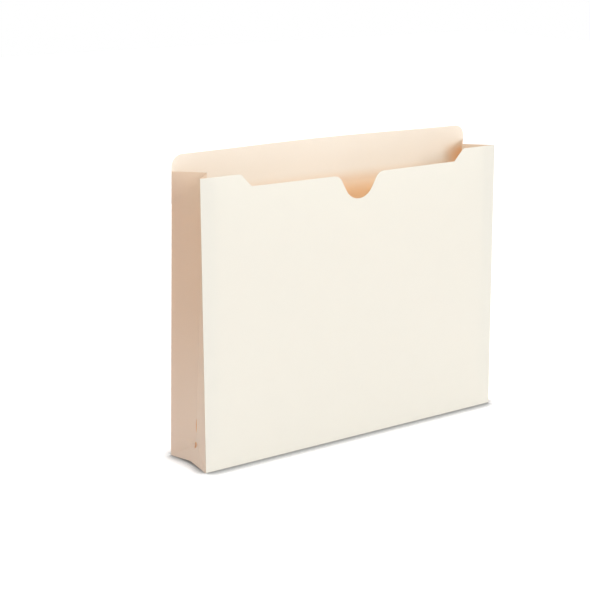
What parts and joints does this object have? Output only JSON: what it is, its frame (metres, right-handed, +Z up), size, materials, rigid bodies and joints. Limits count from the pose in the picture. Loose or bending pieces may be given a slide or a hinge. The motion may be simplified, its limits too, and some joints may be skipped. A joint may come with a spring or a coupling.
{
  "type": "expanding file jacket",
  "caption": "Manila card file jacket: tall tabbed back panel, lower front panel with a thumb notch, and folding side and bottom gussets that let it open wide or press flat.",
  "frame": {"origin": "on the floor, under the middle of the jacket", "axes": "+X to the jacket's right as seen from the front, +Y from the front panel to the tabbed back panel, +Z up"},
  "size_m": [0.2984, 0.0506, 0.2412],
  "materials": {
    "card_front": "matt uncoated card",
    "card_back": "matt uncoated card",
    "card_gusset": "matt uncoated card"
  },
  "bodies": {
    "back": {"back_panel": "card_back", "tab_ply": "card_back"},
    "bottom_rear": {"bottom_gusset_rear": "card_gusset"},
    "bottom_front": {"bottom_gusset_front": "card_gusset"},
    "front": {"front_panel": "card_front", "left_seam_flap": "card_gusset", "right_seam_flap": "card_gusset"},
    "left_rear": {"left_gusset_rear": "card_gusset", "left_corner_web_rear": "card_gusset"},
    "right_rear": {"right_gusset_rear": "card_gusset", "right_corner_web_rear": "card_gusset"},
    "left_front": {"left_gusset_front": "card_gusset", "left_corner_web_front": "card_gusset"},
    "right_front": {"right_gusset_front": "card_gusset", "right_corner_web_front": "card_gusset"}
  },
  "joints": [
    {"name": "rear_foot_fold", "type": "hinge", "parent": "back", "child": "bottom_rear", "pos_m": [0, 0.025, 0.00028], "axis": [-1, 0, 0], "range_deg": [0, 73.84]},
    {"name": "bottom_crease_fold", "type": "hinge", "parent": "bottom_rear", "child": "bottom_front", "pos_m": [0, 0, 0.00478], "axis": [-1, 0, 0], "range_deg": [-151, 0.5]},
    {"name": "front_foot_fold", "type": "hinge", "parent": "bottom_front", "child": "front", "pos_m": [0, -0.025, 0.00028], "axis": [-1, 0, 0], "range_deg": [-0.5, 74.5]},
    {"name": "left_rear_fold", "type": "hinge", "parent": "back", "child": "left_rear", "pos_m": [-0.14894, 0.025, 0.00028], "axis": [0, -0.0251, 0.9997], "range_deg": [-0.5, 75], "deforming": ["left_corner_web_rear"]},
    {"name": "right_rear_fold", "type": "hinge", "parent": "back", "child": "right_rear", "pos_m": [0.14894, 0.025, 0.00028], "axis": [0, 0.0251, -0.9997], "range_deg": [-0.5, 75], "deforming": ["right_corner_web_rear"]},
    {"name": "left_front_fold", "type": "hinge", "parent": "front", "child": "left_front", "pos_m": [-0.14894, -0.02462, 0.00027], "axis": [0, -0.0251, -0.9997], "range_deg": [-0.5, 75.5], "deforming": ["left_corner_web_front"]},
    {"name": "right_front_fold", "type": "hinge", "parent": "front", "child": "right_front", "pos_m": [0.14894, -0.02462, 0.00027], "axis": [0, 0.0251, 0.9997], "range_deg": [-0.5, 75.5], "deforming": ["right_corner_web_front"]}
  ],
  "couplings": [
    {"joint": "bottom_crease_fold", "follows": "rear_foot_fold", "ratio": -2.039},
    {"joint": "front_foot_fold", "follows": "rear_foot_fold", "ratio": 1},
    {"joint": "left_rear_fold", "follows": "rear_foot_fold", "ratio": 1.003},
    {"joint": "right_rear_fold", "follows": "rear_foot_fold", "ratio": 1.003},
    {"joint": "left_front_fold", "follows": "rear_foot_fold", "ratio": 1.0141},
    {"joint": "right_front_fold", "follows": "rear_foot_fold", "ratio": 1.0141}
  ]
}
